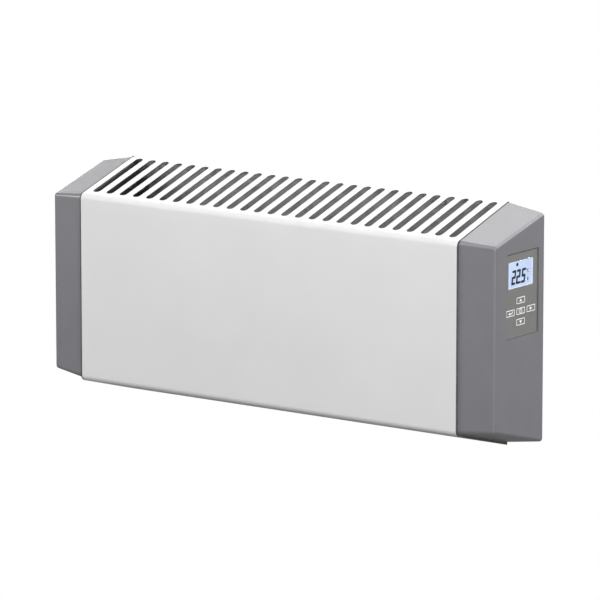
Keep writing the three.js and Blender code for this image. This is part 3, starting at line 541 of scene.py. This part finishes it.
def casing_sheet():
    """The sheet's outer face, with a hole for each slot."""
    middle = (SLOT_COUNT - 1) / 2
    centres = [(i - middle) * SLOT_PITCH for i in range(SLOT_COUNT)]
    half = SLOT_PITCH / 2
    columns = [-CASING_END, centres[0] - half]
    for x in centres:
        columns += [x, x + half]
    columns.append(CASING_END)
    bm = bmesh.new()
    profile = casing_profile()
    grid = [[bm.verts.new((x, p.x, p.y)) for x in columns] for p in profile]
    for k in range(len(profile) - 1):
        this, following = profile[k], profile[k + 1]
        side = 1 if this.y > 0 else -1
        strip = sorted((this.x, following.x))
        slotted = all(abs(y - row) < 0.01 for y, row in zip(strip, slot_rows(side)))
        near, far = (grid[k + 1], grid[k]) if side > 0 else (grid[k], grid[k + 1])
        for c in range(len(columns) - 1):
            if slotted and 0 < c < len(columns) - 2:
                hand = -1 if c % 2 else 1
                at_middle = c + 1 if hand < 0 else c
                outer = c if hand < 0 else c + 1
                half_slot(bm, columns[at_middle], hand, side,
                          (near[at_middle], near[outer], far[outer], far[at_middle]))
            else:
                bm.faces.new((grid[k][c], grid[k][c + 1], grid[k + 1][c + 1], grid[k + 1][c]))
    bmesh.ops.remove_doubles(bm, verts=bm.verts, dist=1e-4)
    return bm


def build_casing():
    obj = loose("casing_shell", casing_sheet())
    obj.data.materials.append(FINISH["white_powder_coat"])
    # The sheet's rim, its cut edges and slot walls, takes the second material: painted shade
    obj.data.materials.append(PAINTED_EDGE_SHADE)
    outward = sum(p.normal.y * p.area for p in obj.data.polygons)
    solid = obj.modifiers.new("sheet", "SOLIDIFY")
    solid.thickness = SHEET * MM
    solid.offset = -1 if outward < 0 else 1
    solid.use_even_offset = True
    solid.material_offset_rim = 1
    apply_modifiers(obj)
    soften(obj, 0.2, angle=40)
    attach(obj, "heater")
    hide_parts("front_casing")


# ---- End caps ----


def plane_through(a, b, c, inside):
    """(outward normal, offset) of the plane through three points."""
    normal = (b - a).cross(c - a).normalized()
    if normal.dot(inside - a) > 0:
        normal = -normal
    return normal, normal.dot(a)


def meeting(planes, depth):
    """The point at a depth under three planes."""
    rows = Matrix([p[0] for p in planes])
    return rows.inverted() @ Vector([p[1] - depth for p in planes])


def cap_planes(hand):
    """The cap's outer, front, top and rear planes, on the +X side."""
    inside = Vector((SEAM + 10, (FRONT + REAR) / 2, 0))
    rear_y, edge_x, out_rear = hand["rear"], hand["edge_x"], outer_x(hand, hand["rear"])
    seam_front = FRONT + CAP_STEP

    def seam_top(y):
        return Vector((SEAM, y, top_at(y, CAP_STEP)))

    outer = plane_through(Vector((edge_x, CAP_EDGE_Y, 0)), Vector((edge_x, CAP_EDGE_Y, 50)),
                          Vector((out_rear, rear_y, 0)), inside)
    front = plane_through(Vector((SEAM, seam_front, 0)), Vector((SEAM, seam_front, 50)),
                          Vector((edge_x, CAP_EDGE_Y, 0)), inside)
    top = plane_through(seam_top(seam_front), seam_top(rear_y),
                        Vector((out_rear, rear_y, top_at(rear_y) - hand["drop"])), inside)
    rear = plane_through(Vector((0, rear_y, 0)), Vector((1, rear_y, 0)),
                         Vector((0, rear_y, 1)), inside)
    return outer, front, top, rear


def corner_patch(planes, depth, radius, steps):
    """Points of the rounding where three planes meet, exact on each plane."""
    centre = meeting(planes, depth + radius)
    points = []
    for i in range(steps + 1):
        for j in range(steps + 1 - i):
            weights = (i / steps, j / steps, (steps - i - j) / steps)
            mixed = sum((p[0] * w for p, w in zip(planes, weights)), Vector())
            points.append(centre + mixed.normalized() * radius)
    return points


def section(inset, front_radius, rear_radius, rear_end=REAR):
    """The heater's own section, shrunk by an inset."""
    front, rear = FRONT + inset, rear_end - inset
    return rounded([
        (front, top_at(front, inset), front_radius),
        (front, -top_at(front, inset), front_radius),
        (rear, -top_at(rear, inset), rear_radius),
        (rear, top_at(rear, inset), rear_radius),
    ], 10)


def cap_form(name, hand, depth, start, steps):
    """The cap's convex form, shrunk by a depth and stretched to start at x = start.

    Its roundings shrink with it but keep a small radius.
    """
    outer, front, top, rear = cap_planes(hand)
    points = corner_patch((outer, front, top), depth, max(CAP_EDGE - depth, 0.6), steps)
    points += corner_patch((outer, rear, top), depth, max(CAP_REAR_EDGE - depth, 0.6), steps)
    points += [Vector((p.x, p.y, -p.z)) for p in points]
    front_bend = max(FRONT_BEND - CAP_STEP - depth, 1.0)
    rear_bend = max(REAR_BEND - depth, 0.4)
    for y, z in section(CAP_STEP + depth, front_bend, rear_bend, hand["rear"] + CAP_STEP):
        points += [Vector((start, y, z)), Vector((SEAM, y, z))]
    bm = bmesh.new()
    for p in points:
        bm.verts.new((p.x, min(p.y, hand["rear"] - depth), p.z + hand["lift"]))
    bmesh.ops.remove_doubles(bm, verts=bm.verts, dist=0.01)
    hull = bmesh.ops.convex_hull(bm, input=bm.verts)
    unused = [v for v in hull["geom_interior"] if isinstance(v, bmesh.types.BMVert)]
    bmesh.ops.delete(bm, geom=unused, context="VERTS")
    bmesh.ops.dissolve_limit(bm, angle_limit=math.radians(0.5), verts=bm.verts, edges=bm.edges)
    return loose(name, bm)


def cap_shell(name, hand):
    """A hollow cap on the +X side, with its locating lip and its screw bosses."""
    shell = combine(
        cap_form(name, hand, 0.0, SEAM, 8),
        "DIFFERENCE",
        cap_form("core", hand, CAP_WALL, SEAM - 20, 4),
    )
    lip_from, lip_to = CAP_LIP
    inner = CAP_STEP + CAP_WALL
    lip = combine(
        prism("lip", section(LIP_INSET, FRONT_BEND - LIP_INSET, LIP_CORNER), lip_from, lip_to),
        "DIFFERENCE",
        prism("lip_core", section(inner, FRONT_BEND - CAP_STEP - CAP_WALL, 0.4),
              lip_from - 1, lip_to + 1),
        prism("flange_room", rectangle((FLANGE_ROOM, 1), (-200, 200)), lip_from - 1, SEAM),
    )
    centres = [(BOSS_Y, side * BOSS_Z) for side in (-1, 1)]
    tip = outer_x(hand, BOSS_Y) - CAP_WALL / 2
    bosses = [prism("boss", circle(centre, BOSS_RADIUS), BOSS_FOOT, tip) for centre in centres]
    combine(shell, "UNION", lip, *bosses)
    holes = [prism("hole", circle(centre, SCREW_HOLE_RADIUS), *SCREW_HOLE) for centre in centres]
    return combine(shell, "DIFFERENCE", *holes)


def build_caps():
    rounding = {"width": 0.35, "segments": 3, "angle": 30}
    left = cap_shell("left_cap", LEFT)
    for vertex in left.data.vertices:
        vertex.co.x = -vertex.co.x
    left.data.flip_normals()
    dress(soften(left, **rounding), "heater", "grey_plastic", "left_end_cap")

    right = cap_shell("right_cap", RIGHT)
    pocket = prism("pocket", rectangle(*PANEL_SPAN, PANEL_RADIUS), -PANEL_RECESS, 2, ON_PANEL)
    openings = [prism("opening", rectangle(*spans), *WALL_CUT, ON_PANEL)
                for spans in (DISPLAY_OPENING, KEY_OPENING)]
    combine(right, "DIFFERENCE", pocket, *openings)
    dress(soften(right, **rounding), "heater", "grey_plastic", "right_end_cap")


# ---- Control panel ----


def key_centre(place):
    """Middle of a key, from its column and row in the cross."""
    return place[0] * KEY_PITCH[0], KEY_Z + place[1] * KEY_PITCH[1]


def key_outline(place, margin):
    (y, z), (width, height) = key_centre(place), KEY_SIZE
    across, up = width / 2 + margin, height / 2 + margin
    return rectangle((y - across, y + across), (z - up, z + up), max(KEY_CORNER + margin, 0.3))


def window_outline(margin, radius):
    """The display's window, made smaller by a margin."""
    bottom, top = DISPLAY_Z
    return rectangle((-DISPLAY_HALF + margin, DISPLAY_HALF - margin),
                     (bottom + margin, top - margin), radius)


def build_fascia():
    (front, rear), (bottom, top) = PANEL_SPAN
    outline = rectangle((front + CLEARANCE, rear - SHADOW_GAP), (bottom + CLEARANCE, top - SHADOW_GAP),
                        PANEL_RADIUS - CLEARANCE)
    plate = prism("fascia", outline, -PANEL_RECESS + CLEARANCE, FASCIA_TOP, ON_PANEL)
    outlines = [window_outline(0.0, WINDOW_CORNER)]
    outlines += [key_outline(place, CLEARANCE) for place in KEYS.values()]
    holes = [prism("hole", hole, *FASCIA_CUT, ON_PANEL) for hole in outlines]
    combine(plate, "DIFFERENCE", *holes)
    dress(soften(plate, 0.12), "heater", "fascia_film", "control_fascia")


def stroke(points, width):
    """Quadrilaterals that draw a line of a width through points."""
    quads = []
    for a, b in zip(points, points[1:]):
        a, b = Vector(a), Vector(b)
        along = (b - a).normalized()
        side = Vector((-along.y, along.x)) * width / 2
        quads.append([a - side, b - side, b + side, a + side])
    return quads


def ring(bm, outer, inner, low, high, matrix):
    """A closed frame between two outlines that have the same number of points."""
    loops = [[bm.verts.new(matrix @ Vector((p[0], p[1], h))) for p in outline]
             for outline, h in ((outer, low), (outer, high), (inner, high), (inner, low))]
    count = len(outer)
    for k in range(4):
        this, following = loops[k], loops[(k + 1) % 4]
        for i in range(count):
            j = (i + 1) % count
            bm.faces.new((this[i], this[j], following[j], following[i]))


def key_symbol(name):
    """Outlines and rings of a key's printed symbol, centred on the key."""
    if name == "key_up":
        return [[(-2.3, -1.2), (2.3, -1.2), (0.0, 1.6)]], []
    if name == "key_down":
        return [[(2.3, 1.2), (-2.3, 1.2), (0.0, -1.6)]], []
    if name == "key_right":
        return [[(-1.9, -1.7), (2.3, 0.0), (-1.9, 1.7)]], []
    if name == "key_left":
        hook = stroke([(3.0, 1.6), (3.0, -0.4), (-1.0, -0.4)], 0.9)
        return hook + [[(-3.4, -0.4), (-0.4, -1.9), (-0.4, 1.1)]], []
    hands = stroke([(0.0, 1.3), (0.0, 0.0), (1.1, -0.6)], 0.6)
    return hands, [(circle((0, 0), 2.5), circle((0, 0), 1.85))]


def build_keys():
    for name, place in KEYS.items():
        key = prism(name + "_cap", key_outline(place, 0.0), KEY_BACK, KEY_TOP, ON_PANEL)
        dress(soften(key, 0.15), name, "key_film", name)
        bm = bmesh.new()
        outer_line, inner_line = (key_outline(place, margin) for margin in KEY_LINE)
        ring(bm, outer_line, inner_line, *PRINT, ON_PANEL @ ALONG_X)
        shapes, rings = key_symbol(name)
        on_key = ON_PANEL @ Matrix.Translation((0, *key_centre(place))) @ ALONG_X
        for shape in shapes:
            add_prism(bm, shape, *PRINT, on_key)
        for outer, inner in rings:
            ring(bm, outer, inner, *PRINT, on_key)
        dress(loose(name + "_print", bm), name, "key_film", material=LIGHT_INK)


# Each digit's straight strokes, as (y, z) of both ends, in widths and in half heights
STROKES = {
    "2": [(0, 2, 1, 2), (1, 2, 1, 1), (0, 1, 1, 1), (0, 1, 0, 0), (0, 0, 1, 0)],
    "5": [(0, 2, 1, 2), (0, 2, 0, 1), (0, 1, 1, 1), (1, 1, 1, 0), (0, 0, 1, 0)],
}
DIGITS = (("2", -14.6), ("2", -7.2), ("5", 1.2))  # each with the y of its left side
DIGIT_WIDTH, DIGIT_HEIGHT, DIGIT_BOTTOM, DIGIT_LINE, DIGIT_LEAN = 6.2, 13.8, 50.0, 2.3, 0.15
LAYER_STEP = 0.004  # keeps strokes that cross out of one another's faces
DECIMAL_POINT = ((-0.9, 0.8), (50.2, 52.0))
HOUSE = [(-6.5, 67.3), (-3.1, 67.3), (-3.1, 69.3), (-4.8, 70.7), (-6.5, 69.3)]
DROP = [(12.4, 54.8), (11.5, 52.8), (11.6, 51.6), (12.4, 51.0), (13.2, 51.6), (13.3, 52.8)]
DEGREE_AT, DEGREE_RADII = (10.6, 61.8), (0.75, 0.35)
LETTER_AT, LETTER_RADII, LETTER_LINE = (13.0, 60.6), (1.3, 1.5), 0.55


def digit(character, left):
    """Leaning outlines of one digit's strokes, each with clipped ends."""
    half, clip = DIGIT_LINE / 2, DIGIT_LINE / 3
    wide, high = DIGIT_WIDTH - DIGIT_LINE, DIGIT_HEIGHT - DIGIT_LINE
    shapes = []
    for y0, z0, y1, z1 in STROKES[character]:
        (a0, b0), (a1, b1) = sorted(
            (left + half + y * wide, DIGIT_BOTTOM + half + z / 2 * high)
            for y, z in ((y0, z0), (y1, z1)))
        y_low, y_high = a0 - half, a1 + half
        z_low, z_high = min(b0, b1) - half, max(b0, b1) + half
        upright = ((y_low + clip, z_low), (y_high - clip, z_low),
                   (y_high, z_low + clip), (y_high, z_high - clip),
                   (y_high - clip, z_high), (y_low + clip, z_high),
                   (y_low, z_high - clip), (y_low, z_low + clip))
        shapes.append([(y + (z - DIGIT_BOTTOM) * DIGIT_LEAN, z) for y, z in upright])
    return shapes


def build_display():
    outer_margin, inner_margin = DISPLAY_BORDER
    edge = window_outline(outer_margin, LENS_CORNER)
    window = prism("display_lens", edge, -PANEL_RECESS + CLEARANCE, FASCIA_TOP, ON_PANEL)
    dress(soften(window, 0.1), "heater", "clear_lens", "display_window")

    matrix = ON_PANEL @ ALONG_X
    low, high = INK
    bm = bmesh.new()
    for character, left in DIGITS:
        for layer, shape in enumerate(digit(character, left)):
            add_prism(bm, shape, low - LAYER_STEP * layer, high + LAYER_STEP * layer, matrix)
    add_prism(bm, rectangle(*DECIMAL_POINT), low, high, matrix)
    add_prism(bm, HOUSE, low, high, matrix)
    ring(bm, *(circle(DEGREE_AT, radius, 16) for radius in DEGREE_RADII), low, high, matrix)
    (y, z), (across, up) = LETTER_AT, LETTER_RADII
    angles = [math.radians(t) for t in range(50, 311, 26)]
    letter = [(y + across * math.cos(t), z + up * math.sin(t)) for t in angles]
    for shape in stroke(letter, LETTER_LINE):
        add_prism(bm, shape, low, high, matrix)
    add_prism(bm, DROP, low, high, matrix)
    dress(loose("display_segments", bm), "heater", "display_backlight", material=LCD_INK)

    # The glowing ring inside the window's edge is a painted highlight of the lens's edge
    bm = bmesh.new()
    ring(bm, edge, window_outline(inner_margin, BORDER_CORNER), low, high, matrix)
    dress(loose("display_border", bm), "heater", "display_backlight", material=PAINTED_EDGE_HIGHLIGHT)


build_casing()
build_caps()
build_fascia()
build_keys()
build_display()

# ---- CAD nodes that stay: each gets its finish and softened edges ----

SLOT_OF = {row["node"]: row["material_slot"] for row in frame["record"]["subparts"]}
for name, node in frame["nodes"].items():
    if node.hide_render:
        continue
    node.data.materials.clear()
    node.data.materials.append(FINISH[SLOT_OF[name]])
    soften(node, 0.18, angle=35, weld=0.005)

# ---- Stage ----

# In metres from here on
FLOOR_Z, FLOOR_THICKNESS, FLOOR_RADIUS, FLOOR_MIDDLE = -3.0, 0.02, 1.3, (0.0, -0.2)
SKY, GROUND = 0.04, 0.17  # what the studio walls give from above and from below
HORIZON = 0.35  # the walls blend over this much of the direction's height
AIM = Vector((0.0, -0.05, 0.0))  # where every lamp points
# name: (place, (width, depth), energy)
LAMPS = {
    "overhead_front": ((0.0, -0.8, 0.95), (3.0, 0.3), 13.0),
    "overhead_back": ((-0.4, 0.8, 1.3), (2.6, 1.2), 20.0),
    "right_fill": ((2.5, -1.5, 0.6), (1.2, 1.2), 51.0),
    "left_fill": ((-2.4, -1.8, 0.6), (1.2, 1.2), 29.0),
    "edge_light": ((0.78, 1.05, 0.79), (0.35, 0.35), 15.0),
    "left_back": ((-1.2, 1.3, 0.25), (1.0, 0.7), 6.5),
}
CAMERA_PLACE = (2.9043, -4.2683, 1.0556)
CAMERA_VIEW = (-0.55371, 0.80814, -0.20079)  # the direction it looks in
LENS, SENSOR = 323.93, 36.0  # in millimetres


def build_world():
    """White behind everything, and dimmer walls that only light the heater."""
    world = bpy.data.worlds.new("studio")
    world.use_nodes = True
    nodes, links = world.node_tree.nodes, world.node_tree.links
    direction = nodes.new("ShaderNodeSeparateXYZ")
    links.new(nodes.new("ShaderNodeTexCoord").outputs["Generated"], direction.inputs["Vector"])
    height = nodes.new("ShaderNodeMapRange")
    height.interpolation_type = "SMOOTHSTEP"
    for socket, number in (("From Min", -HORIZON), ("From Max", HORIZON),
                           ("To Min", GROUND), ("To Max", SKY)):
        height.inputs[socket].default_value = number
    links.new(direction.outputs["Z"], height.inputs["Value"])
    backdrop = nodes["Background"]
    walls = nodes.new("ShaderNodeBackground")
    links.new(height.outputs["Result"], walls.inputs["Strength"])
    for node in (backdrop, walls):
        node.inputs["Color"].default_value = (1.0, 1.0, 1.0, 1.0)
    mix = nodes.new("ShaderNodeMixShader")
    links.new(nodes.new("ShaderNodeLightPath").outputs["Is Camera Ray"], mix.inputs["Fac"])
    links.new(walls.outputs["Background"], mix.inputs[1])
    links.new(backdrop.outputs["Background"], mix.inputs[2])
    links.new(mix.outputs["Shader"], nodes["World Output"].inputs["Surface"])
    bpy.context.scene.world = world


def facing(direction):
    """Turns a lamp or the camera to look in a direction."""
    return Vector(direction).to_track_quat("-Z", "Y").to_euler()


def build_floor():
    bm = bmesh.new()
    outline = circle([c / MM for c in FLOOR_MIDDLE], FLOOR_RADIUS / MM, 96)
    add_prism(bm, outline, (FLOOR_Z - FLOOR_THICKNESS) / MM, FLOOR_Z / MM, Matrix.Identity(4))
    floor = loose("floor", bm)
    f = Finish("pale_floor", Specular_IOR_Level=0.1)
    f.colour(f.noise(900), grey(0.9), grey(0.93))
    f.rough(f.noise(200), 0.85, 0.95)
    floor.data.materials.append(f.material)


def build_lamps():
    for name, (place, size, energy) in LAMPS.items():
        data = bpy.data.lights.new(name, "AREA")
        data.shape = "RECTANGLE"
        data.size, data.size_y = size
        data.energy = energy
        lamp = bpy.data.objects.new(name, data)
        lamp.location = place
        lamp.rotation_euler = facing(AIM - Vector(place))
        bpy.context.scene.collection.objects.link(lamp)


def build_camera():
    data = bpy.data.cameras.new("camera")
    data.lens = LENS
    data.sensor_width = SENSOR
    data.clip_end = 200.0
    camera = bpy.data.objects.new("camera", data)
    camera.location = CAMERA_PLACE
    camera.rotation_euler = facing(CAMERA_VIEW)
    bpy.context.scene.collection.objects.link(camera)
    bpy.context.scene.camera = camera
    bpy.context.scene.view_settings.view_transform = "Standard"


build_floor()
build_world()
build_lamps()
build_camera()

bpy.context.view_layer.update()
